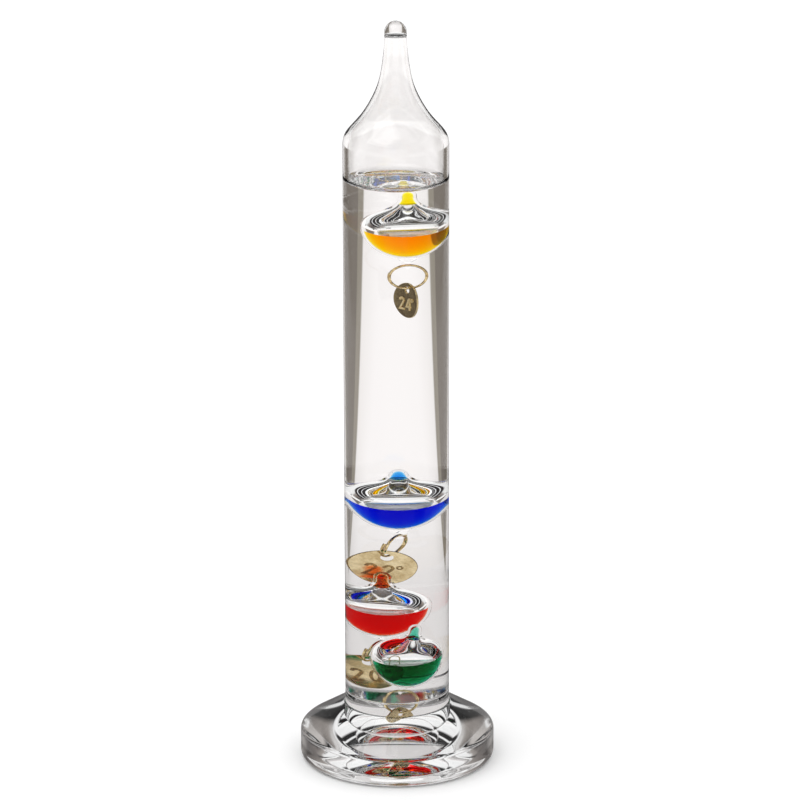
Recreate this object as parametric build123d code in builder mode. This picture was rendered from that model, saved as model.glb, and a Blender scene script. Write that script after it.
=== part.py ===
from build123d import *
from math import asin, cos, radians, sin
import os

# Galileo thermometer: a sealed glass column of clear liquid on a pressed glass foot, with four hand
# blown floats in it.  Each float carries a wire ring and a round brass tag stamped with a temperature.
# Millimetres.  Z is up and the origin is the centre of the underside of the foot.

# ---- glass foot ----------------------------------------------------------------------------------
FOOT_RADIUS = 35.4
FOOT_RIM_TOP = 11.2  # where the upright rim meets the sloping shoulder
FOOT_EDGE_RADIUS = 2.6  # bottom edge, rounded
FOOT_RIM_RADIUS = 2.0
RECESS_RADIUS = 18.0  # the underside is hollowed, so that the foot stands on a ring
RECESS_DEPTH = 4.2
COLLAR_FOOT = 21.3  # where the shoulder meets the collar
COLLAR_TOP = 26.4
COLLAR_BLEND = 1.2
SOCKET_RADIUS = 17.7
SOCKET_FLOOR = 6.2
LIP_RADIUS = 0.35  # small rounding on lips and ledges

# ---- outer vessel --------------------------------------------------------------------------------
TUBE_RADIUS = 19.0
BORE_RADIUS = 17.2
GLUE_GAP = 0.1
SPIGOT_RADIUS = SOCKET_RADIUS - GLUE_GAP
SPIGOT_BORE = 16.2
SPIGOT_FLOOR = SOCKET_FLOOR + GLUE_GAP
LEDGE_HEIGHT = COLLAR_TOP + GLUE_GAP
CAVITY_FLOOR = 7.6
CAVITY_CORNER = 3.0
SOCKET_CORNER = 4.0
TAPER_TOP = 31.5  # the bore opens out from the spigot to the tube below this height
SHOULDER_START = 231.8
TIP_RADIUS = 4.0
TIP_CENTRE = 272.9
NECK = [
    (18.45, 235.0),
    (15.9, 238.6),
    (12.2, 243.0),
    (8.9, 248.4),
    (6.45, 254.0),
    (5.0, 260.5),
    (4.2, 267.2),
]
BORE_NECK = [
    (16.5, 235.0),
    (14.2, 238.2),
    (10.9, 242.5),
    (7.85, 248.0),
    (5.65, 253.8),
    (4.3, 260.4),
    (3.6, 267.2),
]
BORE_TOP_RADIUS = 3.4
BORE_TOP = 271.0
BORE_END = 272.7

# ---- clear liquid --------------------------------------------------------------------------------
LIQUID_LEVEL = 218.6
MENISCUS_RISE = 2.2
MENISCUS_WIDTH = 3.2
CLEARANCE = 0.3  # liquid stands back this far from the loose pieces

# ---- floats --------------------------------------------------------------------------------------
BULB_RADIUS = 10.8
BULB_WALL = 0.55
BULB_SHOULDER = [(9.95, 3.2), (7.5, 5.7), (4.4, 7.9), (2.55, 10.0)]  # radius, height above the equator
BULB_SHOULDER_BORE = [(9.35, 3.0), (6.95, 5.3), (3.85, 7.3), (1.75, 9.9)]
STEM_RADIUS = 2.1
STEM_BORE = 1.35
STEM_START = 11.6
SLUG_START = 9.2  # lower end of the liquid that is held in the stem
EYE_DROP = 2.2  # the eye's hole, below the bottom of the bulb
EYE_RADIUS = 1.9
EYE_HOLE = 1.0
EYE_THICKNESS = 1.5
NIB_RADIUS = 2.7
NIB_RISE = 0.8

# ---- rings and tags ------------------------------------------------------------------------------
WIRE_RADIUS = 0.38
RING_RADIUS = 4.35
RING_END = 200.0  # each half of the wire runs this many degrees, so the ends lie side by side
RING_SPREAD = 0.42  # each half leans out this far at the overlap
TAG_RADIUS = 6.5
TAG_THICKNESS = 0.5
TAG_EDGE = 0.15
TAG_HOLE_RADIUS = 1.3
TAG_HOLE_DROP = 2.6  # hole centre, below the tag's top edge
HANG_SLACK = 0.18  # between the wire and the eye
TAG_SLACK = 0.35  # between the wire and the edge of the tag's hole
DIGIT_WIDTH = 2.4
DIGIT_HEIGHT = 4.6
DIGIT_STROKE = 0.7
DIGIT_RELIEF = 0.14
DIGIT_STEP = 3.4
TEXT_DROP = 1.3

# For each float: the bulb's centre, the level of its colour fill, the stem's height above the equator,
# its lean (angle, heading), the heading of the ring's plane and how far the ring swings out of the
# vertical, the heading that the tag faces and how far it tips, and its figures.  Angles are in
# degrees.  A heading of 0 is +X and 90 is +Y.
FLOATS = {
    "yellow": dict(centre=(2.7, 2.3, 201.9), level=201.0, stem=14.4, lean=(0, 0), ring=4, swing=0,
                   facing=-152, tip=0, figures="24"),
    "blue": dict(centre=(0.4, 5.7, 98.6), level=97.6, stem=12.8, lean=(8, -90), ring=62, swing=14,
                 facing=-90, tip=-9, figures="22"),
    "red": dict(centre=(-3.4, 4.2, 57.6), level=57.6, stem=15.0, lean=(10, -90), ring=56, swing=15,
                facing=-90, tip=4, figures="20"),
    "green": dict(centre=(3.2, -5.1, 40.2), level=40.2, stem=14.8, lean=(17, -54), ring=2, swing=0,
                  facing=-34, tip=-20, figures="18"),
}

os.makedirs("parts", exist_ok=True)


def finish(builder, name):
    """Label a finished piece and write it out."""
    builder.part.label = name
    export_step(builder.part, f"parts/{name}.step")


# ---- the foot: one pressed piece with a socket in its collar --------------------------------------
RECESS_CURVE = (RECESS_RADIUS**2 + RECESS_DEPTH**2) / (2 * RECESS_DEPTH)

with BuildPart() as foot:
    with BuildSketch(Plane.XZ):
        with BuildLine():
            FilletPolyline(
                (RECESS_RADIUS, 0),
                (FOOT_RADIUS, 0),
                (FOOT_RADIUS, FOOT_RIM_TOP),
                (TUBE_RADIUS, COLLAR_FOOT),
                (TUBE_RADIUS, COLLAR_TOP),
                (SOCKET_RADIUS, COLLAR_TOP),
                (SOCKET_RADIUS, SOCKET_FLOOR),
                (0, SOCKET_FLOOR),
                radius=[
                    FOOT_EDGE_RADIUS,
                    FOOT_RIM_RADIUS,
                    COLLAR_BLEND,
                    LIP_RADIUS,
                    LIP_RADIUS,
                    SOCKET_CORNER,
                ],
            )
            Line((0, SOCKET_FLOOR), (0, RECESS_DEPTH))
            RadiusArc((0, RECESS_DEPTH), (RECESS_RADIUS, 0), RECESS_CURVE)
        make_face()
    revolve(axis=Axis.Z)
finish(foot, "foot")

# ---- the outer vessel: tube, drawn neck and sealed tip above a closed spigot -----------------------
TIP_TOP = TIP_CENTRE + TIP_RADIUS
with BuildPart() as outer_vessel:
    with BuildSketch(Plane.XZ):
        with BuildLine():
            FilletPolyline(
                (0, SPIGOT_FLOOR),
                (SPIGOT_RADIUS, SPIGOT_FLOOR),
                (SPIGOT_RADIUS, LEDGE_HEIGHT),
                (TUBE_RADIUS, LEDGE_HEIGHT),
                (TUBE_RADIUS, SHOULDER_START),
                radius=[SOCKET_CORNER - GLUE_GAP, LIP_RADIUS, LIP_RADIUS],
            )
            Spline(
                (TUBE_RADIUS, SHOULDER_START),
                *NECK,
                (TIP_RADIUS, TIP_CENTRE),
                tangents=[(0, 1), (0, 1)],
            )
            RadiusArc((TIP_RADIUS, TIP_CENTRE), (0, TIP_TOP), -TIP_RADIUS)
            Line((0, TIP_TOP), (0, SPIGOT_FLOOR))
        make_face()
    revolve(axis=Axis.Z)
    with BuildSketch(Plane.XZ):
        with BuildLine():
            FilletPolyline(
                (0, CAVITY_FLOOR),
                (SPIGOT_BORE, CAVITY_FLOOR),
                (SPIGOT_BORE, LEDGE_HEIGHT),
                (BORE_RADIUS, TAPER_TOP),
                (BORE_RADIUS, SHOULDER_START),
                radius=[CAVITY_CORNER, COLLAR_BLEND, COLLAR_BLEND],
            )
            Spline(
                (BORE_RADIUS, SHOULDER_START),
                *BORE_NECK,
                (BORE_TOP_RADIUS, BORE_TOP),
                tangents=[(0, 1), (0, 1)],
            )
            Spline((BORE_TOP_RADIUS, BORE_TOP), (0, BORE_END), tangents=[(0, 1), (-1, 0)])
            Line((0, BORE_END), (0, CAVITY_FLOOR))
        make_face()
    revolve(axis=Axis.Z, mode=Mode.SUBTRACT)
finish(outer_vessel, "outer_vessel")

# ---- the clear adhesive that fills the gap between spigot and socket -------------------------------
with BuildPart() as foot_adhesive:
    with BuildSketch(Plane.XZ):
        with BuildLine():
            outer = FilletPolyline(
                (0, SOCKET_FLOOR),
                (SOCKET_RADIUS, SOCKET_FLOOR),
                (SOCKET_RADIUS, COLLAR_TOP - LIP_RADIUS),
                radius=SOCKET_CORNER,
            )
            inner = FilletPolyline(
                (0, SPIGOT_FLOOR),
                (SPIGOT_RADIUS, SPIGOT_FLOOR),
                (SPIGOT_RADIUS, COLLAR_TOP - LIP_RADIUS),
                radius=SOCKET_CORNER - GLUE_GAP,
            )
            Line(outer @ 0, inner @ 0)
            Line(outer @ 1, inner @ 1)
        make_face()
    revolve(axis=Axis.Z)
finish(foot_adhesive, "foot_adhesive")


# ---- where each float, ring and tag stands ---------------------------------------------------------
def heading(degrees):
    """A level unit vector."""
    return Vector(cos(radians(degrees)), sin(radians(degrees)), 0)


def lowered(axis, angle):
    """Straight down, swung by an angle about a level axis."""
    return Vector(0, 0, -1).rotate(Axis((0, 0, 0), axis), angle)


def float_plane(data):
    """The float's own plane: its origin is the bulb's centre and its X runs through the eye."""
    angle, towards = data["lean"]
    up = Vector(0, 0, 1) * cos(radians(angle)) + heading(towards) * sin(radians(angle))
    along = heading(data["ring"])
    return Plane(origin=data["centre"], x_dir=along - up * along.dot(up), z_dir=up)


def section_plane(data):
    """The plane of a float's half outline, with X outwards and Y up the float's axis."""
    plane = float_plane(data)
    return Plane(origin=plane.origin, x_dir=plane.x_dir, z_dir=plane.y_dir * -1)


def float_axis(data):
    """The line up the middle of a float."""
    plane = float_plane(data)
    return Axis(plane.origin, plane.z_dir)


def ring_top(data):
    """The centre of the wire where it hangs in the eye."""
    hole = float_plane(data).from_local_coords(Vector(0, 0, -BULB_RADIUS - EYE_DROP))
    return hole - Vector(0, 0, EYE_HOLE - WIRE_RADIUS - HANG_SLACK)


def ring_plane(data):
    """The ring's plane, with its origin at the ring's centre, its X level and its Y up."""
    along = heading(data["ring"])
    down = lowered(along, data["swing"])
    normal = down.cross(along)
    centre = ring_top(data) + down * RING_RADIUS - normal * (RING_SPREAD / 2)
    return Plane(origin=centre, x_dir=along, z_dir=normal)


def wire_point(angle, side):
    """A point of the ring's wire, in the ring's plane.  Each side leans about the tangent at 0 degrees."""
    lean = asin(RING_SPREAD / (2 * RING_RADIUS))
    reach = RING_RADIUS * (1 - cos(radians(angle)))
    return (RING_RADIUS - reach * cos(lean), RING_RADIUS * sin(radians(angle)), side * reach * sin(lean))


def tag_top(data):
    """The centre of the wire where the tag hangs on it."""
    return ring_plane(data).from_local_coords(Vector(*wire_point(-90, -1)))


def tag_plane(data):
    """The tag's plane, with its origin at the disc's centre and its Y towards the hole."""
    normal = heading(data["facing"])
    down = lowered(normal, data["tip"])
    drop = TAG_RADIUS - TAG_HOLE_DROP + TAG_HOLE_RADIUS - WIRE_RADIUS - TAG_SLACK
    return Plane(origin=tag_top(data) + down * drop, x_dir=normal.cross(down), z_dir=normal)


# ---- float outlines ----------------------------------------------------------------------------------
def bulb_outline(stem, grow):
    """Half outline of a bulb with its stem, all surfaces moved out by grow."""
    radius = BULB_RADIUS + grow
    start = (0, -radius)
    side = (radius, 0)
    middle = (radius * cos(radians(45)), -radius * sin(radians(45)))
    stem_radius = STEM_RADIUS + grow
    ThreePointArc(start, middle, side)
    Spline(
        side,
        *[(r + grow, h + grow / 2) for r, h in BULB_SHOULDER],
        (stem_radius, STEM_START),
        tangents=[(0, 1), (0, 1)],
    )
    Line((stem_radius, STEM_START), (stem_radius, stem - STEM_RADIUS))
    RadiusArc((stem_radius, stem - STEM_RADIUS), (0, stem + grow), -stem_radius)
    Line((0, stem + grow), start)


def bore_outline(stem):
    """Half outline of the hollow inside a bulb and its stem."""
    radius = BULB_RADIUS - BULB_WALL
    start = (0, -radius)
    side = (radius, 0)
    middle = (radius * cos(radians(45)), -radius * sin(radians(45)))
    top = stem - STEM_RADIUS
    ThreePointArc(start, middle, side)
    Spline(side, *BULB_SHOULDER_BORE, (STEM_BORE, STEM_START), tangents=[(0, 1), (0, 1)])
    Line((STEM_BORE, STEM_START), (STEM_BORE, top))
    RadiusArc((STEM_BORE, top), (0, top + STEM_BORE), -STEM_BORE)
    Line((0, top + STEM_BORE), start)


def make_bulb(data):
    """Blown glass bulb with a closed stem above and a solid nib with an eye below."""
    plane = section_plane(data)
    eye = float_plane(data).offset(-BULB_RADIUS - EYE_DROP)
    nib_foot = -BULB_RADIUS - EYE_DROP
    with BuildPart() as bulb:
        with BuildSketch(plane):
            with BuildLine():
                bulb_outline(data["stem"], 0)
            make_face()
        revolve(axis=float_axis(data))
        with BuildSketch(plane):
            with BuildLine():
                Line((0, -BULB_RADIUS + NIB_RISE), (NIB_RADIUS, -BULB_RADIUS + NIB_RISE))
                Spline(
                    (NIB_RADIUS, -BULB_RADIUS + NIB_RISE),
                    (EYE_RADIUS, nib_foot),
                    tangents=[(-1, -1), (0, -1)],
                )
                RadiusArc((EYE_RADIUS, nib_foot), (0, nib_foot - EYE_RADIUS), EYE_RADIUS)
                Line((0, nib_foot - EYE_RADIUS), (0, -BULB_RADIUS + NIB_RISE))
            make_face()
        revolve(axis=float_axis(data))
        with BuildSketch(plane):
            with BuildLine():
                bore_outline(data["stem"])
            make_face()
        revolve(axis=float_axis(data), mode=Mode.SUBTRACT)
        across = Plane(origin=eye.origin, x_dir=eye.y_dir, z_dir=eye.x_dir)
        with BuildSketch(across):
            Circle(EYE_HOLE)
        extrude(amount=EYE_RADIUS, both=True, mode=Mode.SUBTRACT)
        for cheek in (across, -across):
            with BuildSketch(cheek.offset(EYE_THICKNESS / 2)):
                Rectangle(2 * NIB_RADIUS, 2 * EYE_DROP)
            extrude(amount=EYE_RADIUS, mode=Mode.SUBTRACT)
    return bulb


def make_fill(data):
    """Coloured liquid: a level pool in the bulb and a slug held in the stem."""
    slug = float_plane(data).offset(SLUG_START)
    with BuildPart() as bore:
        with BuildSketch(section_plane(data)):
            with BuildLine():
                bore_outline(data["stem"])
            make_face()
        revolve(axis=float_axis(data))
    pool = split(bore.part, bisect_by=Plane.XY.offset(data["level"]), keep=Keep.BOTTOM)
    trapped = split(bore.part, bisect_by=slug, keep=Keep.TOP)
    with BuildPart() as fill:
        add(pool)
        add(trapped)
    return fill


def make_ring(data):
    """Gold wire ring of a little over one turn, its ends side by side."""
    with BuildPart() as ring:
        with BuildLine(ring_plane(data)) as wire:
            ThreePointArc(*[wire_point(angle, 1) for angle in (RING_END, RING_END / 2, 0)])
            ThreePointArc(*[wire_point(angle, -1) for angle in (0, -RING_END / 2, -RING_END)])
        with BuildSketch(Plane(origin=wire.line @ 0, z_dir=wire.line % 0)):
            Circle(WIRE_RADIUS)
        sweep()
    return ring


def figure(name, left):
    """One raised figure in the current sketch, its lower left corner at (left, 0)."""
    width = DIGIT_WIDTH
    height = DIGIT_HEIGHT
    if name == "0":
        with Locations((left + width / 2, height / 2)):
            Ellipse(width / 2, height / 2)
            Ellipse(width / 2 - DIGIT_STROKE, height / 2 - DIGIT_STROKE, mode=Mode.SUBTRACT)
    elif name == "1":
        with BuildLine() as stroke:
            Polyline(
                (left + 0.25 * width, 0.78 * height),
                (left + 0.6 * width, 0.96 * height),
                (left + 0.6 * width, 0),
            )
        trace(stroke.line, line_width=DIGIT_STROKE)
    elif name == "2":
        with BuildLine() as stroke:
            arc = ThreePointArc(
                (left + 0.12 * width, 0.74 * height),
                (left + 0.5 * width, 0.94 * height),
                (left + 0.86 * width, 0.7 * height),
            )
            Polyline(arc @ 1, (left + 0.15 * width, 0.07 * height), (left + width, 0.07 * height))
        trace(stroke.line, line_width=DIGIT_STROKE)
    elif name == "4":
        with BuildLine() as stroke:
            Polyline(
                (left + 0.65 * width, 0.95 * height),
                (left + 0.08 * width, 0.3 * height),
                (left + 1.05 * width, 0.3 * height),
            )
        trace(stroke.line, line_width=DIGIT_STROKE)
        with Locations((left + 0.76 * width, 0.5 * height)):
            Rectangle(DIGIT_STROKE, height)
    elif name == "8":
        loop = height / 4 + DIGIT_STROKE / 4
        for centre in (loop, height - loop):
            with Locations((left + width / 2, centre)):
                Circle(loop)
        for centre in (loop, height - loop):
            with Locations((left + width / 2, centre)):
                Circle(loop - DIGIT_STROKE, mode=Mode.SUBTRACT)


def make_tag(data):
    """Round brass tag with a hole and raised figures with a degree sign."""
    plane = tag_plane(data)
    text_width = DIGIT_STEP + DIGIT_WIDTH + 1.6
    corner = Vector(-text_width / 2, -TEXT_DROP - DIGIT_HEIGHT / 2, TAG_THICKNESS / 2)
    face = Plane(origin=plane.from_local_coords(corner), x_dir=plane.x_dir, z_dir=plane.z_dir)
    with BuildPart() as tag:
        with BuildSketch(plane):
            Circle(TAG_RADIUS)
        extrude(amount=TAG_THICKNESS / 2, both=True)
        fillet(tag.edges(), TAG_EDGE)
        with BuildSketch(face):
            for i, name in enumerate(data["figures"]):
                figure(name, i * DIGIT_STEP)
            with Locations((text_width - 0.65, DIGIT_HEIGHT - 0.65)):
                Circle(0.75)
                Circle(0.32, mode=Mode.SUBTRACT)
        extrude(amount=DIGIT_RELIEF)
        with BuildSketch(plane):
            with Locations((0, TAG_RADIUS - TAG_HOLE_DROP)):
                Circle(TAG_HOLE_RADIUS)
        extrude(amount=TAG_THICKNESS, both=True, mode=Mode.SUBTRACT)
    return tag


for colour, data in FLOATS.items():
    finish(make_bulb(data), f"{colour}_float_glass")
    finish(make_fill(data), f"{colour}_float_fill")
    finish(make_ring(data), f"{colour}_ring")
    finish(make_tag(data), f"{colour}_tag")


# ---- the clear liquid that the floats hang in --------------------------------------------------------
def make_pocket(data):
    """The room that one float, its ring and its tag take up in the liquid."""
    eye = -BULB_RADIUS - EYE_DROP
    ring = ring_plane(data)
    with BuildPart() as pocket:
        with BuildSketch(section_plane(data)):
            with BuildLine():
                bulb_outline(data["stem"], CLEARANCE)
            make_face()
        revolve(axis=float_axis(data))
        with BuildSketch(section_plane(data)):
            with BuildLine():
                Polyline(
                    (0, -BULB_RADIUS + NIB_RISE),
                    (NIB_RADIUS + CLEARANCE, -BULB_RADIUS + NIB_RISE),
                    (EYE_RADIUS + CLEARANCE, eye),
                    (EYE_RADIUS + CLEARANCE, eye - EYE_RADIUS - CLEARANCE),
                    (0, eye - EYE_RADIUS - CLEARANCE),
                    close=True,
                )
            make_face()
        revolve(axis=float_axis(data))
        with BuildSketch(Plane(origin=ring.origin, x_dir=ring.x_dir, z_dir=ring.y_dir)):
            with Locations((RING_RADIUS, 0)):
                SlotOverall(
                    2 * (WIRE_RADIUS + CLEARANCE + RING_SPREAD),
                    2 * (WIRE_RADIUS + CLEARANCE),
                    rotation=90,
                )
        revolve(axis=Axis(ring.origin, ring.z_dir))
        with BuildSketch(tag_plane(data)):
            Circle(TAG_RADIUS + CLEARANCE)
        extrude(amount=TAG_THICKNESS / 2 + DIGIT_RELIEF + CLEARANCE, both=True)
    return pocket


with BuildPart() as thermometer_liquid:
    with BuildSketch(Plane.XZ):
        with BuildLine():
            FilletPolyline(
                (0, CAVITY_FLOOR),
                (SPIGOT_BORE, CAVITY_FLOOR),
                (SPIGOT_BORE, LEDGE_HEIGHT),
                (BORE_RADIUS, TAPER_TOP),
                (BORE_RADIUS, LIQUID_LEVEL + MENISCUS_RISE),
                radius=[CAVITY_CORNER, COLLAR_BLEND, COLLAR_BLEND],
            )
            Spline(
                (BORE_RADIUS, LIQUID_LEVEL + MENISCUS_RISE),
                (BORE_RADIUS - MENISCUS_WIDTH, LIQUID_LEVEL),
                tangents=[(-0.35, -1), (-1, 0)],
            )
            Line((BORE_RADIUS - MENISCUS_WIDTH, LIQUID_LEVEL), (0, LIQUID_LEVEL))
            Line((0, LIQUID_LEVEL), (0, CAVITY_FLOOR))
        make_face()
    revolve(axis=Axis.Z)
    for data in FLOATS.values():
        add(make_pocket(data).part, mode=Mode.SUBTRACT)
finish(thermometer_liquid, "thermometer_liquid")
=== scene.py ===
"""Looks of a galileo thermometer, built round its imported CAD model.

The glass and the liquids are turned meshes, fine enough to bend light cleanly.  The light bends only
where two different media meet, so each face carries the index of one medium relative to the next.
"""

import math

import bmesh
import bpy
import numpy as np
from mathutils import Matrix, Vector


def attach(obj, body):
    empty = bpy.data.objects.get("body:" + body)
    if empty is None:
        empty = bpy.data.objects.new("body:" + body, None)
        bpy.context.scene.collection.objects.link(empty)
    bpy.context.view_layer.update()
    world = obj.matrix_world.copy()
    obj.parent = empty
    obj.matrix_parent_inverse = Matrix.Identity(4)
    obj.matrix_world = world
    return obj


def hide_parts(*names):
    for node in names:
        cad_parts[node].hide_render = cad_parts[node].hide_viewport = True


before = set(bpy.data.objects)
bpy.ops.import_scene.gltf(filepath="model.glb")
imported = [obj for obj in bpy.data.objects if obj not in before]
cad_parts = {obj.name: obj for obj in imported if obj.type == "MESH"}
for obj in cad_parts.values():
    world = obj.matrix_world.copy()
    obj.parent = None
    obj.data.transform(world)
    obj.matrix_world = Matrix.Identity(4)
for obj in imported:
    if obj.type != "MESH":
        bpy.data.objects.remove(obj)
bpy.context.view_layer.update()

MM = 0.001
SEGMENTS = 224

# ---- refractive indices --------------------------------------------------------------------------
GLASS = 1.5
LIQUID = 1.44
DYE = 1.42

# ---- sizes in millimetres, as in the CAD model ---------------------------------------------------
FOOT_RADIUS = 35.4
FOOT_RIM_TOP = 11.2
FOOT_EDGE_RADIUS = 2.6
FOOT_RIM_RADIUS = 2.0
RECESS_RADIUS = 18.0
RECESS_DEPTH = 4.2
COLLAR_FOOT = 21.3
COLLAR_TOP = 26.4
COLLAR_BLEND = 1.2
SOCKET_RADIUS = 17.7
SOCKET_FLOOR = 6.2
SOCKET_CORNER = 4.0
LIP_RADIUS = 0.35
TUBE_RADIUS = 19.0
BORE_RADIUS = 17.2
GLUE_GAP = 0.1
SPIGOT_BORE = 16.2
CAVITY_FLOOR = 7.6
CAVITY_CORNER = 3.0
TAPER_TOP = 31.5
SHOULDER_START = 231.8
TIP_RADIUS = 4.0
TIP_CENTRE = 272.9
NECK = [
    (18.45, 235.0),
    (15.9, 238.6),
    (12.2, 243.0),
    (8.9, 248.4),
    (6.45, 254.0),
    (5.0, 260.5),
    (4.2, 267.2),
]
BORE_NECK = [
    (16.5, 235.0),
    (14.2, 238.2),
    (10.9, 242.5),
    (7.85, 248.0),
    (5.65, 253.8),
    (4.3, 260.4),
    (3.6, 267.2),
]
BORE_TOP_RADIUS = 3.4
BORE_TOP = 271.0
BORE_END = 272.7
LIQUID_LEVEL = 218.6
MENISCUS_RISE = 2.2
MENISCUS_WIDTH = 3.2
BULB_RADIUS = 10.8
BULB_WALL = 0.55
BULB_SHOULDER = [(9.95, 3.2), (7.5, 5.7), (4.4, 7.9), (2.55, 10.0)]
BULB_SHOULDER_BORE = [(9.35, 3.0), (6.95, 5.3), (3.85, 7.3), (1.75, 9.9)]
STEM_RADIUS = 2.1
STEM_BORE = 1.35
STEM_START = 11.6
SLUG_START = 9.2
EYE_DROP = 2.2
EYE_RADIUS = 1.9
EYE_HOLE = 1.0
EYE_THICKNESS = 1.5
NIB_RADIUS = 2.7
TAG_THICKNESS = 0.5

# Each float's bulb centre, the level of its fill, the stem's height, its lean (angle, heading) and
# the heading of its eye.
FLOATS = {
    "yellow": dict(centre=(2.7, 2.3, 201.9), level=201.0, stem=14.4, lean=(0, 0), ring=4),
    "blue": dict(centre=(0.4, 5.7, 98.6), level=97.6, stem=12.8, lean=(8, -90), ring=62),
    "red": dict(centre=(-3.4, 4.2, 57.6), level=57.6, stem=15.0, lean=(10, -90), ring=56),
    "green": dict(centre=(3.2, -5.1, 40.2), level=40.2, stem=14.8, lean=(17, -54), ring=2),
}

# How much red, green and blue each fill takes out of the light, per millimetre.
ABSORPTION = {
    "yellow": (0.0, 0.075, 1.6),
    "blue": (1.1, 0.36, 0.03),
    "red": (0.022, 0.6, 1.1),
    "green": (0.7, 0.145, 0.26),
}

# ---- sizes in millimetres that only the looks have -----------------------------------------------
SKIN = 0.02  # a liquid's own mesh stands back this far from the glass that holds it
DULL_START = 24.5  # a guess: between these heights the bore is dull, which softens the collar
DULL_END = TAPER_TOP + 1
EYE_FLAT_START = 0.3  # the nib starts to flatten this far below the bulb
EYE_FLAT_BLEND = 1.4  # and is flat after this much more
FILL_RIM_WIDTH = 0.5  # the curved edge of a fill's free surface
FILL_RIM_DEPTH = 0.22
RELIEF_CLEARANCE = 0.03  # a figure stands at least this far above its tag's flat
SHARP_ANGLE = 35  # in degrees: a steeper edge than this is shaded as sharp
WELD = 1e-7  # in metres: vertices nearer than this are one

# ---- studio and camera, in metres and degrees ----------------------------------------------------
SHEET_SIZE = 6.0
CARD_DROP = 0.0006  # the card lies this far under the floor
SWEEP_FRONT = 0.12  # half the width of the card's pale sweep, before and behind the object
SWEEP_SIDE = 0.08  # and beside it
SWEEP_NEAREST = 0.02
MIRRORED_SHARE = 0.15  # what is left of the studio's light in a ray that was just mirrored
BACKDROP_STRENGTH = 1.14
LIGHT_TARGET = (0, 0, 0.12)
CAMERA_PLACE = (0.00128, -1.8, 0.72)
CAMERA_PITCH = 17.96  # below level
CAMERA_ROLL = -0.13
CAMERA_LENS = 236.2  # in millimetres, on a 36 mm sensor


# ---- outlines ------------------------------------------------------------------------------------
def spline(points, start=None, end=None, steps=10):
    """Points along a smooth cubic through the given ones, with chosen directions at its ends."""
    p = np.array(points, float)
    gaps = np.linalg.norm(np.diff(p, axis=0), axis=1)
    count = len(p)
    system = np.zeros((count, count))
    target = np.zeros((count, 2))
    for i in range(1, count - 1):
        before, after = gaps[i - 1], gaps[i]
        system[i, i - 1 : i + 2] = after, 2 * (before + after), before
        target[i] = 3 * (after * (p[i] - p[i - 1]) / before + before * (p[i + 1] - p[i]) / after)
    for i, near, way in ((0, 1, start), (count - 1, count - 2, end)):
        if way is None:
            system[i, i], system[i, near] = 2, 1
            target[i] = 3 * (p[near] - p[i]) / (gaps[0] if i == 0 else -gaps[-1])
        else:
            system[i, i] = 1
            target[i] = np.array(way, float) / np.linalg.norm(way)
    slopes = np.linalg.solve(system, target)
    made = [tuple(p[0])]
    for i in range(count - 1):
        for t in np.linspace(0, 1, steps + 1)[1:]:
            made.append(
                tuple(
                    (2 * t**3 - 3 * t**2 + 1) * p[i]
                    + (t**3 - 2 * t**2 + t) * gaps[i] * slopes[i]
                    + (3 * t**2 - 2 * t**3) * p[i + 1]
                    + (t**3 - t**2) * gaps[i] * slopes[i + 1]
                )
            )
    return made


def arc(centre, radius, start, end, steps=16):
    """Points along an arc, from one angle to another in degrees."""
    return [
        (centre[0] + radius * math.cos(math.radians(a)), centre[1] + radius * math.sin(math.radians(a)))
        for a in np.linspace(start, end, steps + 1)
    ]


def rounded(points, radii, steps=7):
    """A polyline with its inner corners rounded."""
    made = [points[0]]
    for before, corner, after, radius in zip(points, points[1:], points[2:], radii):
        c = np.array(corner, float)
        a = np.array(before, float) - c
        b = np.array(after, float) - c
        a /= np.linalg.norm(a)
        b /= np.linalg.norm(b)
        half = math.acos(max(-1.0, min(1.0, float(a @ b)))) / 2
        middle = c + (a + b) / np.linalg.norm(a + b) * radius / math.sin(half)
        first = c + a * radius / math.tan(half) - middle
        turn = math.pi - 2 * half
        side = 1 if first[1] * a[0] > first[0] * a[1] else -1
        for t in np.linspace(0, side * turn, steps + 1):
            made.append(
                (
                    middle[0] + first[0] * math.cos(t) - first[1] * math.sin(t),
                    middle[1] + first[0] * math.sin(t) + first[1] * math.cos(t),
                )
            )
    return made + [points[-1]]


def spread(points, longest):
    """The same outline with its long straight runs divided."""
    made = [points[0]]
    for a, b in zip(points, points[1:]):
        a, b = np.array(a, float), np.array(b, float)
        parts = max(1, math.ceil(np.linalg.norm(b - a) / longest))
        made += [tuple(a + (b - a) * k / parts) for k in range(1, parts + 1)]
    return made


# ---- meshes --------------------------------------------------------------------------------------
def turn(bm, outline, slot=0, segments=SEGMENTS):
    """Adds the surface turned from an outline about Z.

    slot is a number, or a function of radius and height.
    """
    rings = []
    for radius, height in outline:
        if radius < 1e-6:
            rings.append([bm.verts.new((0, 0, height * MM))])
            continue
        rings.append(
            [
                bm.verts.new(
                    (
                        radius * MM * math.cos(2 * math.pi * k / segments),
                        radius * MM * math.sin(2 * math.pi * k / segments),
                        height * MM,
                    )
                )
                for k in range(segments)
            ]
        )
    for lower, upper, p, q in zip(rings, rings[1:], outline, outline[1:]):
        chosen = slot((p[0] + q[0]) / 2, (p[1] + q[1]) / 2) if callable(slot) else slot
        for k in range(segments):
            corners = [
                lower[k % len(lower)],
                lower[(k + 1) % len(lower)],
                upper[(k + 1) % len(upper)],
                upper[k % len(upper)],
            ]
            face = bm.faces.new(list(dict.fromkeys(corners)))
            face.material_index = chosen
            face.smooth = True


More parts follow.
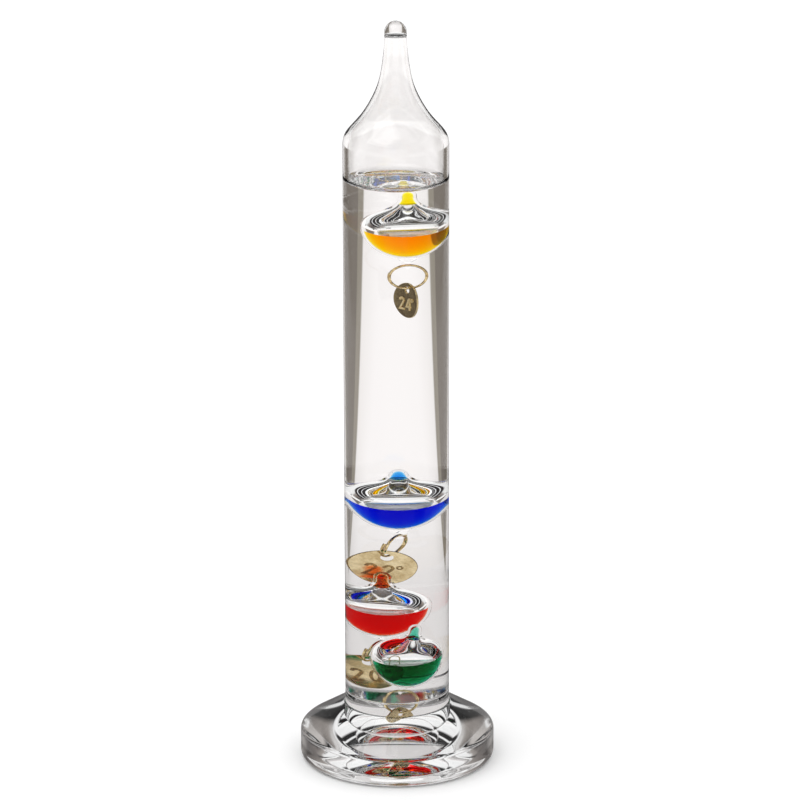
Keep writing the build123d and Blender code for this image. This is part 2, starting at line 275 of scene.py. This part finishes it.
def piece(name, bm, materials, body, nodes, matrix=None):
    """Makes the object that stands for CAD nodes and rides on their body."""
    for edge in bm.edges:
        edge.smooth = edge.calc_face_angle(0) < math.radians(SHARP_ANGLE)
    mesh = bpy.data.meshes.new(name)
    bm.to_mesh(mesh)
    bm.free()
    for material in materials:
        mesh.materials.append(material)
    made = bpy.data.objects.new(name, mesh)
    bpy.context.scene.collection.objects.link(made)
    if matrix is not None:
        mesh.transform(matrix)
    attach(made, body)
    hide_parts(*nodes)
    return made


# ---- materials -----------------------------------------------------------------------------------
def new_material(name):
    """An empty node material with its output."""
    material = bpy.data.materials.new(name)
    material.use_nodes = True
    tree = material.node_tree
    tree.nodes.clear()
    return material, tree, tree.nodes.new("ShaderNodeOutputMaterial")


def waves(tree, scale, stretch, distance, strength):
    """A bump from soft noise in the object's own space, stretched along the height, and the noise."""
    place = tree.nodes.new("ShaderNodeTexCoord")
    mapping = tree.nodes.new("ShaderNodeMapping")
    mapping.inputs["Scale"].default_value = (scale, scale, scale / stretch)
    noise = tree.nodes.new("ShaderNodeTexNoise")
    noise.inputs["Scale"].default_value = 1.0
    noise.inputs["Detail"].default_value = 1.5
    noise.inputs["Roughness"].default_value = 0.4
    bump = tree.nodes.new("ShaderNodeBump")
    bump.inputs["Distance"].default_value = distance
    bump.inputs["Strength"].default_value = strength
    tree.links.new(place.outputs["Object"], mapping.inputs["Vector"])
    tree.links.new(mapping.outputs["Vector"], noise.inputs["Vector"])
    tree.links.new(noise.outputs["Fac"], bump.inputs["Height"])
    return bump, noise


def glass(name, ior, tint=(1.0, 1.0, 1.0), wave=None, smudge=0.0, rough=0.0):
    """Clear glass or liquid with this index relative to what lies outside the face.

    wave holds the scale, stretch, distance and strength of its waves.
    """
    material, tree, output = new_material(name)
    shader = tree.nodes.new("ShaderNodeBsdfPrincipled")
    shader.inputs["Base Color"].default_value = (*tint, 1)
    shader.inputs["Roughness"].default_value = rough
    shader.inputs["IOR"].default_value = ior
    shader.inputs["Transmission Weight"].default_value = 1.0
    if wave:
        bump, noise = waves(tree, *wave)
        tree.links.new(bump.outputs["Normal"], shader.inputs["Normal"])
        if smudge:
            ramp = tree.nodes.new("ShaderNodeMapRange")
            ramp.inputs["From Min"].default_value = 0.58
            ramp.inputs["From Max"].default_value = 0.8
            ramp.inputs["To Max"].default_value = smudge
            tree.links.new(noise.outputs["Fac"], ramp.inputs["Value"])
            tree.links.new(ramp.outputs["Result"], shader.inputs["Roughness"])
    tree.links.new(shader.outputs["BSDF"], output.inputs["Surface"])
    return material


def bonded(name):
    """A face that lies against a medium of the same index, which light passes straight through."""
    material, tree, output = new_material(name)
    shader = tree.nodes.new("ShaderNodeBsdfTransparent")
    tree.links.new(shader.outputs["BSDF"], output.inputs["Surface"])
    return material


def dye(name, per_mm):
    """A coloured liquid: only its free surface bends light, and its depth gives the colour."""
    material, tree, output = new_material(name)
    surface = tree.nodes.new("ShaderNodeBsdfPrincipled")
    surface.inputs["Roughness"].default_value = 0.0
    surface.inputs["IOR"].default_value = DYE
    surface.inputs["Transmission Weight"].default_value = 1.0
    bump = waves(tree, 180.0, 1.0, 0.0002, 0.25)[0]
    tree.links.new(bump.outputs["Normal"], surface.inputs["Normal"])
    clear = tree.nodes.new("ShaderNodeBsdfTransparent")
    free = tree.nodes.new("ShaderNodeAttribute")
    free.attribute_name = "free_surface"
    mix = tree.nodes.new("ShaderNodeMixShader")
    tree.links.new(free.outputs["Fac"], mix.inputs["Fac"])
    tree.links.new(clear.outputs["BSDF"], mix.inputs[1])
    tree.links.new(surface.outputs["BSDF"], mix.inputs[2])
    tree.links.new(mix.outputs["Shader"], output.inputs["Surface"])
    depth = tree.nodes.new("ShaderNodeVolumeAbsorption")
    most = max(per_mm)
    depth.inputs["Density"].default_value = most / MM
    depth.inputs["Color"].default_value = (*[1 - k / most for k in per_mm], 1)
    tree.links.new(depth.outputs["Volume"], output.inputs["Volume"])
    return material


def metal(name, colour, shade, rough, relief, fine):
    """Brass, softly tarnished in patches, with worn highlights and fine tool marks."""
    material, tree, output = new_material(name)
    shader = tree.nodes.new("ShaderNodeBsdfPrincipled")
    shader.inputs["Metallic"].default_value = 1.0
    place = tree.nodes.new("ShaderNodeTexCoord")
    cloud = tree.nodes.new("ShaderNodeTexNoise")
    cloud.inputs["Scale"].default_value = fine
    cloud.inputs["Detail"].default_value = 5.0
    cloud.inputs["Roughness"].default_value = 0.6
    tree.links.new(place.outputs["Object"], cloud.inputs["Vector"])
    tone = tree.nodes.new("ShaderNodeValToRGB")
    tone.color_ramp.elements[0].position = 0.36
    tone.color_ramp.elements[0].color = (*shade, 1)
    tone.color_ramp.elements[1].position = 0.62
    tone.color_ramp.elements[1].color = (*colour, 1)
    tree.links.new(cloud.outputs["Fac"], tone.inputs["Fac"])
    tree.links.new(tone.outputs["Color"], shader.inputs["Base Color"])
    spread_rough = tree.nodes.new("ShaderNodeMapRange")
    spread_rough.inputs["To Min"].default_value = rough * 1.6
    spread_rough.inputs["To Max"].default_value = rough * 0.6
    tree.links.new(cloud.outputs["Fac"], spread_rough.inputs["Value"])
    tree.links.new(spread_rough.outputs["Result"], shader.inputs["Roughness"])
    bump = tree.nodes.new("ShaderNodeBump")
    bump.inputs["Distance"].default_value = 0.0002
    bump.inputs["Strength"].default_value = relief
    tree.links.new(cloud.outputs["Fac"], bump.inputs["Height"])
    tree.links.new(bump.outputs["Normal"], shader.inputs["Normal"])
    tree.links.new(shader.outputs["BSDF"], output.inputs["Surface"])
    return material


vessel_glass = glass("vessel_glass", GLASS, (0.995, 0.998, 0.997), (22.0, 5.0, 0.0008, 0.10), 0.02)
wet_glass = glass("wet_glass", GLASS / LIQUID)
worked_glass = glass("worked_glass", GLASS / LIQUID, wave=(60.0, 1.0, 0.0006, 0.3), rough=0.28)
foot_glass = glass("foot_glass", GLASS, (0.995, 0.998, 0.997), (34.0, 1.0, 0.0008, 0.14), 0.02)
liquid_surface = glass("liquid_surface", LIQUID, wave=(150.0, 1.0, 0.0006, 0.45))
wet_bulb = glass("wet_bulb", GLASS / LIQUID, wave=(120.0, 1.0, 0.0004, 0.25))
dry_bore = glass("dry_bore", GLASS, wave=(120.0, 1.0, 0.0004, 0.2))
dyed_bore = glass("dyed_bore", GLASS / DYE)
joined = bonded("joined")

# ---- the foot ------------------------------------------------------------------------------------
recess_curve = (RECESS_RADIUS**2 + RECESS_DEPTH**2) / (2 * RECESS_DEPTH)
recess_edge = math.degrees(math.asin(RECESS_RADIUS / recess_curve))
recess = arc((0, RECESS_DEPTH - recess_curve), recess_curve, 90, 90 - recess_edge, 24)
foot_outside = recess + rounded(
    [
        (RECESS_RADIUS, 0),
        (FOOT_RADIUS, 0),
        (FOOT_RADIUS, FOOT_RIM_TOP),
        (TUBE_RADIUS, COLLAR_FOOT),
        (TUBE_RADIUS, COLLAR_TOP),
        (SOCKET_RADIUS, COLLAR_TOP),
        (SOCKET_RADIUS, SOCKET_FLOOR),
        (0, SOCKET_FLOOR),
    ],
    [FOOT_EDGE_RADIUS, FOOT_RIM_RADIUS, COLLAR_BLEND, LIP_RADIUS, LIP_RADIUS, SOCKET_CORNER],
)[1:]
adhesive_top = COLLAR_TOP - LIP_RADIUS
bm = bmesh.new()
turn(
    bm,
    spread(foot_outside, 1.2),
    lambda r, h: int(r < SOCKET_RADIUS + 0.01 and SOCKET_FLOOR - 0.01 < h < adhesive_top),
)
piece("foot_moulding", bm, [foot_glass, joined], "vessel", ["foot"])

# ---- the adhesive --------------------------------------------------------------------------------
spigot_floor = SOCKET_FLOOR + GLUE_GAP
spigot_radius = SOCKET_RADIUS - GLUE_GAP
outer = rounded(
    [(0, SOCKET_FLOOR), (SOCKET_RADIUS, SOCKET_FLOOR), (SOCKET_RADIUS, adhesive_top)],
    [SOCKET_CORNER],
)
inner = rounded(
    [(0, spigot_floor), (spigot_radius, spigot_floor), (spigot_radius, adhesive_top)],
    [SOCKET_CORNER - GLUE_GAP],
)
bm = bmesh.new()
turn(bm, outer + inner[::-1], lambda r, h: int(h < adhesive_top - 0.001))
piece("adhesive_film", bm, [foot_glass, joined], "vessel", ["foot_adhesive"])

# ---- the outer vessel ----------------------------------------------------------------------------
ledge = COLLAR_TOP + GLUE_GAP
vessel_outside = rounded(
    [
        (0, spigot_floor),
        (spigot_radius, spigot_floor),
        (spigot_radius, ledge),
        (TUBE_RADIUS, ledge),
        (TUBE_RADIUS, SHOULDER_START),
    ],
    [SOCKET_CORNER - GLUE_GAP, LIP_RADIUS, LIP_RADIUS],
)
vessel_outside += spline(
    [(TUBE_RADIUS, SHOULDER_START), *NECK, (TIP_RADIUS, TIP_CENTRE)], (0, 1), (0, 1)
)[1:]
vessel_outside += arc((0, TIP_CENTRE), TIP_RADIUS, 0, 90)[1:-1] + [(0, TIP_CENTRE + TIP_RADIUS)]
bore_lower = rounded(
    [
        (0, CAVITY_FLOOR),
        (SPIGOT_BORE, CAVITY_FLOOR),
        (SPIGOT_BORE, ledge),
        (BORE_RADIUS, TAPER_TOP),
        (BORE_RADIUS, LIQUID_LEVEL + MENISCUS_RISE),
    ],
    [CAVITY_CORNER, COLLAR_BLEND, COLLAR_BLEND],
)
bore_upper = [(BORE_RADIUS, SHOULDER_START)]
bore_top = (BORE_TOP_RADIUS, BORE_TOP)
bore_upper += spline([*bore_upper, *BORE_NECK, bore_top], (0, 1), (0, 1))[1:]
bore_upper += spline([bore_top, (0, BORE_END)], (0, 1), (-1, 0))[1:-1] + [(0, BORE_END)]
bm = bmesh.new()
turn(
    bm,
    spread(vessel_outside, 4.0),
    lambda r, h: 2 * int(h < adhesive_top and r < spigot_radius + 0.001),
)
turn(
    bm,
    spread(bore_lower + bore_upper, 4.0)[::-1],
    lambda r, h: 3 if DULL_START < h < DULL_END else int(h < LIQUID_LEVEL + MENISCUS_RISE),
)
glasses = [vessel_glass, wet_glass, joined, worked_glass]
piece("outer_vessel_glass", bm, glasses, "vessel", ["outer_vessel"])

# ---- the clear liquid ----------------------------------------------------------------------------
cavity_flat = SPIGOT_BORE - CAVITY_CORNER + 0.01
body_side = [(max(r - SKIN, 0), h + SKIN if r < cavity_flat else h) for r, h in bore_lower]
edge = (BORE_RADIUS - SKIN, LIQUID_LEVEL + MENISCUS_RISE)
meniscus = spline([edge, (BORE_RADIUS - MENISCUS_WIDTH, LIQUID_LEVEL)], (-0.35, -1), (-1, 0), 14)
level_radius = BORE_RADIUS - MENISCUS_WIDTH
liquid_top = meniscus + [(level_radius * k / 6, LIQUID_LEVEL) for k in range(5, -1, -1)]
bm = bmesh.new()
turn(bm, spread(body_side, 4.0), 1)
turn(bm, liquid_top, 0)
bmesh.ops.remove_doubles(bm, verts=bm.verts, dist=WELD)
piece("clear_liquid", bm, [liquid_surface, joined], "vessel", ["thermometer_liquid"])


# ---- the floats ----------------------------------------------------------------------------------
def float_matrix(data):
    """Where a float stands: Z along its stem and X through its eye."""
    angle, towards = data["lean"]
    tilt, way = math.radians(angle), math.radians(towards)
    up = Vector((math.sin(tilt) * math.cos(way), math.sin(tilt) * math.sin(way), math.cos(tilt)))
    along = Vector((math.cos(math.radians(data["ring"])), math.sin(math.radians(data["ring"])), 0))
    x = (along - up * along.dot(up)).normalized()
    axes = Matrix((x, up.cross(x), up)).transposed().to_4x4()
    return Matrix.Translation(Vector(data["centre"]) * MM) @ axes


def bore_outline(stem, inset=0.0):
    """Half outline of the hollow in a bulb and its stem, from bottom to top."""
    radius = BULB_RADIUS - BULB_WALL - inset
    top = stem - STEM_RADIUS
    made = [(0, -radius)] + arc((0, 0), radius, -90, 0, 22)[1:]
    shoulder = [(r - inset, h - inset / 2) for r, h in BULB_SHOULDER_BORE]
    made += spline([(radius, 0), *shoulder, (STEM_BORE - inset, STEM_START)], (0, 1), (0, 1), 8)[1:]
    made += arc((0, top), STEM_BORE - inset, 0, 90, 8)[:-1] + [(0, top + STEM_BORE - inset)]
    return made


def bulb_outline(stem):
    """Half outline of a bulb with its stem, from the tip of its nib to the top."""
    nib_foot = -BULB_RADIUS - EYE_DROP
    join = (NIB_RADIUS, -math.sqrt(BULB_RADIUS**2 - NIB_RADIUS**2))
    made = [(0, nib_foot - EYE_RADIUS)] + arc((0, nib_foot), EYE_RADIUS, -90, 0, 10)[1:]
    nib = [(EYE_RADIUS, nib_foot), (NIB_RADIUS * 0.8, join[1] - 1.0), join]
    made += spline(nib, (0, 1), (1, 0.45), 5)[1:]
    made += arc((0, 0), BULB_RADIUS, math.degrees(math.atan2(join[1], join[0])), 0, 22)[1:]
    made += spline([(BULB_RADIUS, 0), *BULB_SHOULDER, (STEM_RADIUS, STEM_START)], (0, 1), (0, 1), 8)[1:]
    made += arc((0, stem - STEM_RADIUS), STEM_RADIUS, 0, 90, 10)[:-1] + [(0, stem)]
    return made


def press_eye(bm):
    """Presses the nib flat and pierces it, along the float's X."""
    for v in bm.verts:
        depth = -v.co.z / MM - BULB_RADIUS - EYE_FLAT_START
        share = min(1.0, max(0.0, depth) / EYE_FLAT_BLEND)
        share = share * share * (3 - 2 * share)
        v.co.x *= 1 + (EYE_THICKNESS / 2 / EYE_RADIUS - 1) * share
    drill = bmesh.new()
    eye = Matrix.Translation((0, 0, (-BULB_RADIUS - EYE_DROP) * MM))
    bmesh.ops.create_cone(
        drill,
        cap_ends=True,
        segments=48,
        radius1=EYE_HOLE * MM,
        radius2=EYE_HOLE * MM,
        depth=4 * MM,
        matrix=eye @ Matrix.Rotation(math.pi / 2, 4, "Y"),
    )
    made = []
    for name, source in (("blank", bm), ("drill", drill)):
        mesh = bpy.data.meshes.new(name)
        source.to_mesh(mesh)
        made.append(bpy.data.objects.new(name, mesh))
        bpy.context.scene.collection.objects.link(made[-1])
    drill.free()
    blank, tool = made
    cut = blank.modifiers.new("pierce", "BOOLEAN")
    cut.operation = "DIFFERENCE"
    cut.solver = "EXACT"
    cut.object = tool
    pierced = blank.evaluated_get(bpy.context.evaluated_depsgraph_get()).to_mesh()
    bm.clear()
    bm.from_mesh(pierced)
    for f in bm.faces:
        f.smooth = True
    for scrap in made:
        bpy.data.meshes.remove(scrap.data)


for colour, data in FLOATS.items():
    matrix = float_matrix(data)
    level = data["level"]
    bm = bmesh.new()
    turn(bm, bulb_outline(data["stem"]), 0, 128)
    press_eye(bm)
    turn(bm, bore_outline(data["stem"])[::-1], 1, 128)
    inverse = matrix.inverted()
    up = (inverse.to_3x3() @ Vector((0, 0, 1))).normalized()
    foot_point = inverse @ Vector((0, 0, level * MM))
    hollow = [f for f in bm.faces if f.material_index == 1]
    around = list({g for f in hollow for g in [f, *f.edges, *f.verts]})
    bmesh.ops.bisect_plane(bm, geom=around, plane_co=foot_point, plane_no=up, dist=WELD)
    for f in bm.faces:
        middle = f.calc_center_median()
        if f.material_index == 1 and ((middle - foot_point).dot(up) < 0 or middle.z > SLUG_START * MM):
            f.material_index = 2
    skins = [wet_bulb, dry_bore, dyed_bore]
    body = f"{colour}_float"
    piece(f"{colour}_bulb", bm, skins, body, [f"{body}_glass"], matrix)

    bm = bmesh.new()
    turn(bm, bore_outline(data["stem"], SKIN), 0, 128)
    free = bm.faces.layers.float.new("free_surface")
    geometry = [*bm.verts, *bm.edges, *bm.faces]
    bmesh.ops.bisect_plane(bm, geom=geometry, plane_co=foot_point, plane_no=up, dist=WELD)
    slug_point = Vector((0, 0, SLUG_START * MM))
    geometry = [*bm.verts, *bm.edges, *bm.faces]
    bmesh.ops.bisect_plane(bm, geom=geometry, plane_co=slug_point, plane_no=(0, 0, 1), dist=WELD)
    gone = [
        f
        for f in bm.faces
        if (f.calc_center_median() - foot_point).dot(up) > 0 and f.calc_center_median().z < slug_point.z
    ]
    bmesh.ops.delete(bm, geom=gone, context="FACES")
    rims = [e for e in bm.edges if e.is_boundary]
    caps = bmesh.ops.holes_fill(bm, edges=rims)["faces"]
    curve = dict(thickness=FILL_RIM_WIDTH * MM, depth=-FILL_RIM_DEPTH * MM)
    rims = bmesh.ops.inset_individual(bm, faces=caps, **curve)["faces"]
    for f in [*caps, *rims]:
        f[free] = 1.0
    fill = dye(f"{colour}_dye", ABSORPTION[colour])
    piece(f"{colour}_fill_liquid", bm, [fill], body, [f"{body}_fill"], matrix)

# ---- rings and tags, as the CAD model has them ---------------------------------------------------
wire = metal("gold_wire", (0.95, 0.78, 0.45), (0.42, 0.29, 0.12), 0.06, 0.05, 900.0)
# painted shade: a darker copy of the tag brass, for the yellow and green plates
plate_brass_painted_shade = metal("tag_brass_painted_shade", (0.6, 0.5, 0.3), (0.36, 0.28, 0.15), 0.12, 0.1, 420.0)
pale = metal("tag_brass_pale", (0.9, 0.76, 0.47), (0.62, 0.48, 0.25), 0.1, 0.1, 420.0)
# painted highlight: a lighter, rougher copy of the brass, for raised figures and rounded rims that
# catch light
brass_painted_highlight = metal("figure_painted_highlight", (1.0, 0.86, 0.52), (0.88, 0.68, 0.34), 0.34, 0.05, 900.0)
# painted shade: a dark copy of the brass, for the blue tag's rims and figures and the red tag's figures
figure_brass_painted_shade = metal("figure_painted_shade", (0.42, 0.29, 0.12), (0.2, 0.13, 0.06), 0.2, 0.1, 900.0)


def dress_tag(mesh, plate, rim, relief):
    """Gives a tag's two flats, its rounded rims and its raised figures their own brass, so that rims
    and figures can carry painted highlight and painted shade.
    """
    points = np.empty(len(mesh.vertices) * 3)
    mesh.vertices.foreach_get("co", points)
    points = points.reshape(-1, 3)
    across = np.linalg.svd(points - points.mean(0), full_matrices=False)[2][2]
    count = len(mesh.polygons)
    areas, normals, centres = np.empty(count), np.empty(count * 3), np.empty(count * 3)
    mesh.polygons.foreach_get("area", areas)
    mesh.polygons.foreach_get("normal", normals)
    mesh.polygons.foreach_get("center", centres)
    normals, centres = normals.reshape(-1, 3), centres.reshape(-1, 3)
    facing = normals @ across
    flat = np.abs(facing) > 0.97
    across = (normals[flat] * (areas[flat] * np.sign(facing[flat]))[:, None]).sum(0)
    across /= np.linalg.norm(across)
    depth = centres @ across
    ends = depth.min(), depth.max()
    area_low, area_high = [areas[flat & (np.abs(depth - end) < 2e-5)].sum() for end in ends]
    height = depth - ends[0] if area_low > area_high else ends[1] - depth
    raised = height > (TAG_THICKNESS + RELIEF_CLEARANCE) * MM
    round_rim = ~raised & (np.abs(normals @ across) < 0.9)
    mesh.materials.clear()
    for material in (plate, rim, relief):
        mesh.materials.append(material)
    mesh.polygons.foreach_set("material_index", (round_rim + 2 * raised).astype(np.int32))


for name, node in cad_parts.items():
    if name.endswith("_ring"):
        node.data.materials.clear()
        node.data.materials.append(wire)
# yellow and green: plates in painted shade, rims and figures in painted highlight; blue: rims and
# figures in painted shade; red: rims in painted highlight, figures in painted shade
dress_tag(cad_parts["yellow_tag"].data, plate_brass_painted_shade, brass_painted_highlight, brass_painted_highlight)
dress_tag(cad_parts["green_tag"].data, plate_brass_painted_shade, brass_painted_highlight, brass_painted_highlight)
dress_tag(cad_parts["blue_tag"].data, pale, figure_brass_painted_shade, figure_brass_painted_shade)
dress_tag(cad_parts["red_tag"].data, pale, brass_painted_highlight, figure_brass_painted_shade)

# ---- floor and studio ----------------------------------------------------------------------------
def calc(operation, *values):
    """A math node on numbers or sockets."""
    node = tree.nodes.new("ShaderNodeMath")
    node.operation = operation
    for socket, value in zip(node.inputs, values):
        if isinstance(value, (int, float)):
            socket.default_value = value
        else:
            tree.links.new(value, socket)
    return node.outputs[0]


def ramp(value, stops):
    """A colour ramp over stops of (position, grey or colour)."""
    node = tree.nodes.new("ShaderNodeValToRGB")
    elements = node.color_ramp.elements
    while len(elements) < len(stops):
        elements.new(0.5)
    for element, (position, colour) in zip(elements, stops):
        element.position = position
        element.color = (*colour, 1) if isinstance(colour, tuple) else (colour, colour, colour, 1)
    tree.links.new(value, node.inputs["Fac"])
    return node.outputs["Color"]


def blend(share, first, second, how="MIX"):
    """Two colours mixed by a share."""
    node = tree.nodes.new("ShaderNodeMix")
    node.data_type = "RGBA"
    node.blend_type = how
    if isinstance(share, float):
        node.inputs["Factor"].default_value = share
    else:
        tree.links.new(share, node.inputs["Factor"])
    tree.links.new(first, node.inputs[6])
    tree.links.new(second, node.inputs[7])
    return node.outputs[2]


def dimmed_when_mirrored():
    """Full strength, but faint where a surface has just mirrored the ray."""
    path = tree.nodes.new("ShaderNodeLightPath")
    return calc("MULTIPLY_ADD", path.outputs["Is Reflection Ray"], MIRRORED_SHARE - 1, 1.0)


def sheet(name, height, material):
    """A wide level sheet of the stage."""
    bm = bmesh.new()
    bmesh.ops.create_grid(bm, x_segments=8, y_segments=8, size=SHEET_SIZE)
    mesh = bpy.data.meshes.new(name)
    bm.to_mesh(mesh)
    bm.free()
    mesh.materials.append(material)
    made = bpy.data.objects.new(name, mesh)
    made.location.z = height
    bpy.context.scene.collection.objects.link(made)
    return made


paper, tree, output = new_material("pale_floor")
matte = tree.nodes.new("ShaderNodeBsdfDiffuse")
matte.inputs["Color"].default_value = (0.93, 0.93, 0.93, 1)
tree.links.new(matte.outputs["BSDF"], output.inputs["Surface"])
floor = sheet("floor", 0.0, paper)
floor.visible_transmission = False
floor.visible_glossy = False

# What glass and metal see of the table, a glowing card: a pale sweep before and behind the object, dusk
# at its sides, painted shade near the object and a painted contact shadow under the foot.
pale_card = (1.0, 0.967, 0.96)
warm = (0.31, 0.28, 0.235)
dusk = (0.2, 0.175, 0.152)
glow, tree, output = new_material("table_glow")
place = tree.nodes.new("ShaderNodeTexCoord")
parts = tree.nodes.new("ShaderNodeSeparateXYZ")
tree.links.new(place.outputs["Object"], parts.inputs["Vector"])
x, y, z = parts.outputs
along, across = calc("ABSOLUTE", y), calc("ABSOLUTE", x)
front = calc("DIVIDE", calc("SUBTRACT", across, SWEEP_FRONT), calc("MAXIMUM", along, SWEEP_NEAREST))
beside = calc("DIVIDE", calc("SUBTRACT", along, SWEEP_SIDE), calc("MAXIMUM", across, SWEEP_NEAREST))
reach = calc("MINIMUM", front, calc("MULTIPLY", beside, 1.2))
light = tree.nodes.new("ShaderNodeEmission")
sweep = ramp(
    calc("MULTIPLY", reach, 0.8),
    [
        (0.0, pale_card),
        (0.21, (0.9, 0.865, 0.85)),
        (0.235, warm),
        (0.32, warm),
        (0.34, dusk),
        (1.0, dusk),
    ],
)
radius = calc("SQRT", calc("ADD", calc("MULTIPLY", x, x), calc("MULTIPLY", y, y)))
# painted contact shadow: a dark ring on the card under the foot's shoulder, about 20 to 36 mm from the
# axis
painted_contact_shadow = ramp(
    calc("MULTIPLY", radius, 20.0),
    [(0.0, 0.95), (0.28, 0.9), (0.4, 0.42), (0.52, 0.24), (0.64, 0.3), (0.72, 0.75), (0.8, 1.0)],
)
far = ramp(radius, [(0.0, (1.1, 1.07, 1.06)), (1.0, (1.13, 1.1, 1.09))])
wide = blend(ramp(radius, [(0.0, 0.0), (0.93, 0.0), (1.0, 1.0)]), sweep, far)
# painted shade: the card darkens towards the object, within about a third of a metre of its axis
near = ramp(radius, [(0.0, 0.74), (0.16, 0.76), (0.33, 1.0)])
shaded = blend(1.0, blend(1.0, wide, near, "MULTIPLY"), painted_contact_shadow, "MULTIPLY")
tree.links.new(shaded, light.inputs["Color"])
tree.links.new(dimmed_when_mirrored(), light.inputs["Strength"])
tree.links.new(light.outputs["Emission"], output.inputs["Surface"])
card = sheet("table_card", -CARD_DROP, glow)
card.visible_camera = False
card.visible_diffuse = False
card.visible_shadow = False

world = bpy.data.worlds.new("studio")
bpy.context.scene.world = world
world.use_nodes = True
tree = world.node_tree
tree.nodes.clear()
output = tree.nodes.new("ShaderNodeOutputWorld")
place = tree.nodes.new("ShaderNodeTexCoord")
parts = tree.nodes.new("ShaderNodeSeparateXYZ")
tree.links.new(place.outputs["Generated"], parts.inputs["Vector"])
x, y, z = parts.outputs
bearing = calc("ARCTAN2", calc("ABSOLUTE", x), calc("ABSOLUTE", y))
# 0 on an axis, 1 midway between two
side = calc("DIVIDE", calc("PINGPONG", bearing, math.pi / 4), math.pi / 4)
walls = ramp(side, [(0.0, 1.08), (0.42, 1.05), (0.44, 0.2), (0.56, 0.2), (0.58, 1.05), (1.0, 1.05)])
height = calc("MULTIPLY_ADD", calc("ARCSINE", z), 1 / math.pi, 0.5)  # 0 straight down, 1 straight up
off_axis = calc("DIVIDE", bearing, math.pi / 2)  # 0 before and behind the object, 1 beside it
drapes = ramp(
    off_axis,
    [
        (0.0, 1.0),
        (0.28, 0.9),
        (0.38, (0.36, 0.33, 0.31)),
        (0.55, (0.16, 0.14, 0.13)),
        (0.7, (0.1, 0.09, 0.085)),
        (0.84, (0.44, 0.41, 0.39)),
        (1.0, (0.58, 0.55, 0.53)),
    ],
)
above = ramp(
    height,
    [
        (0.0, 0.02),
        (0.675, 0.02),
        (0.68, 0.9),
        (0.692, 0.9),
        (0.697, 0.02),
        (0.76, 0.02),
        (0.765, 0.9),
        (0.775, 0.9),
        (0.78, 0.03),
        (0.85, 0.03),
        (0.87, 1.15),
    ],
)
low = blend(ramp(height, [(0.0, 0.0), (0.512, 0.0), (0.535, 1.0)]), walls, drapes)
sky = blend(ramp(height, [(0.0, 0.0), (0.618, 0.0), (0.64, 1.0)]), low, above)
studio = tree.nodes.new("ShaderNodeBackground")
tree.links.new(sky, studio.inputs["Color"])
tree.links.new(dimmed_when_mirrored(), studio.inputs["Strength"])
plain = tree.nodes.new("ShaderNodeBackground")
plain.inputs["Color"].default_value = (1, 1, 1, 1)
plain.inputs["Strength"].default_value = BACKDROP_STRENGTH
choose = tree.nodes.new("ShaderNodeMixShader")
path = tree.nodes.new("ShaderNodeLightPath")
seen = calc("MAXIMUM", path.outputs["Is Camera Ray"], path.outputs["Is Diffuse Ray"])
tree.links.new(seen, choose.inputs["Fac"])
tree.links.new(studio.outputs["Background"], choose.inputs[1])
tree.links.new(plain.outputs["Background"], choose.inputs[2])
tree.links.new(choose.outputs["Shader"], output.inputs["Surface"])


def softbox(name, place, size, power):
    """A square area light turned towards the middle of the object."""
    data = bpy.data.lights.new(name, "AREA")
    data.shape = "SQUARE"
    data.size = size
    data.energy = power
    made = bpy.data.objects.new(name, data)
    made.location = place
    aim = Vector(LIGHT_TARGET) - Vector(place)
    made.rotation_euler = aim.to_track_quat("-Z", "Y").to_euler()
    bpy.context.scene.collection.objects.link(made)
    return made


softbox("softbox_above", (-0.35, -0.25, 1.1), 0.8, 2.5)

# ---- camera --------------------------------------------------------------------------------------
lens = bpy.data.cameras.new("camera")
lens.sensor_width = 36.0
lens.lens = CAMERA_LENS
lens.clip_start = 0.05
lens.clip_end = 60.0
camera = bpy.data.objects.new("camera", lens)
camera.location = CAMERA_PLACE
camera.rotation_mode = "XYZ"
level_pitch = Matrix.Rotation(math.radians(90 - CAMERA_PITCH), 4, "X")
roll = Matrix.Rotation(math.radians(CAMERA_ROLL), 4, "Z")
camera.matrix_world = Matrix.Translation(camera.location) @ level_pitch @ roll
bpy.context.scene.collection.objects.link(camera)
bpy.context.scene.camera = camera

scene = bpy.context.scene
scene.view_settings.view_transform = "Standard"
scene.cycles.max_bounces = 40
scene.cycles.transmission_bounces = 40
scene.cycles.glossy_bounces = 12
scene.cycles.transparent_max_bounces = 64
scene.cycles.volume_bounces = 0
